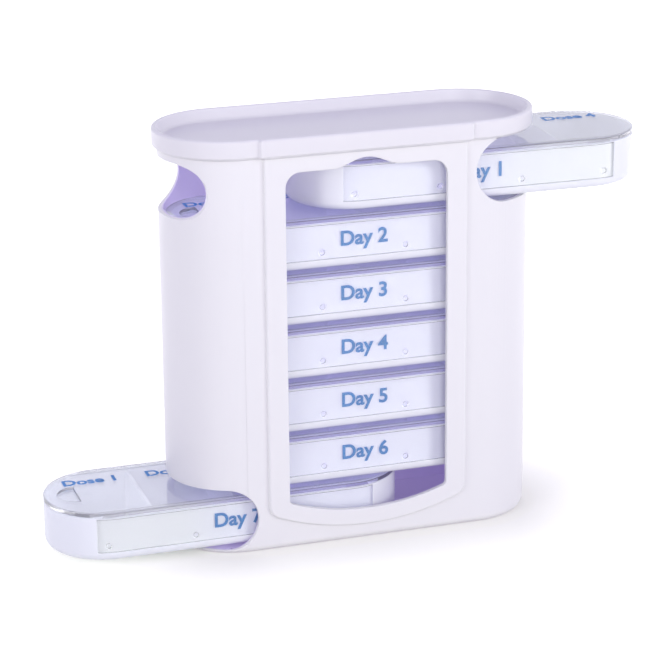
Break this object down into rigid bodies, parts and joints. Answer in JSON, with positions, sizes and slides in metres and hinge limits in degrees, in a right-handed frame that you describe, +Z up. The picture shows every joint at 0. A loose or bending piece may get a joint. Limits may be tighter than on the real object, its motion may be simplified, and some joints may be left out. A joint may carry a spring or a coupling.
{
  "type": "weekly pill drawer organizer",
  "caption": "Upright tower casing with a lift-off cap, holding a stack of lidded pill drawers seen through a front window; they leave at the lower left and return at the upper right.",
  "frame": {"origin": "centre of the casing's flat underside, on the surface that it stands on", "axes": "+X to the viewer's right along the drawers, +Y to the back, +Z up"},
  "size_m": [0.1968, 0.0471, 0.1345],
  "materials": {
    "casing": "satin gloss, pale lavender",
    "cap": "satin gloss, pale lavender",
    "tray": "glossy, cool white, slightly translucent",
    "lid": "clear moulded plastic",
    "plate": "clear moulded plastic"
  },
  "bodies": {
    "tower": {"tower_casing": "casing", "top_cap": "cap", "tray_2": "tray", "lid_2": "lid", "label_plate_2": "plate", "tray_3": "tray", "lid_3": "lid", "label_plate_3": "plate", "tray_4": "tray", "lid_4": "lid", "label_plate_4": "plate", "tray_5": "tray", "lid_5": "lid", "label_plate_5": "plate", "tray_6": "tray", "lid_6": "lid", "label_plate_6": "plate"},
    "top_drawer": {"tray_1": "tray", "label_plate_1": "plate"},
    "top_lid": {"lid_1": "lid"},
    "bottom_drawer": {"tray_7": "tray", "label_plate_7": "plate"},
    "bottom_lid": {"lid_7": "lid"}
  },
  "joints": [
    {"name": "top_drawer_slide", "type": "slide", "parent": "tower", "child": "top_drawer", "axis": [1, 0, 0], "range_m": [-0.0388, 0.0612]},
    {"name": "bottom_drawer_slide", "type": "slide", "parent": "tower", "child": "bottom_drawer", "axis": [-1, 0, 0], "range_m": [-0.0424, 0.0576]},
    {"name": "top_lid_slide", "type": "slide", "parent": "top_drawer", "child": "top_lid", "axis": [1, 0, 0], "range_m": [0, 0.056]},
    {"name": "bottom_lid_slide", "type": "slide", "parent": "bottom_drawer", "child": "bottom_lid", "axis": [-1, 0, 0], "range_m": [0, 0.056]}
  ]
}
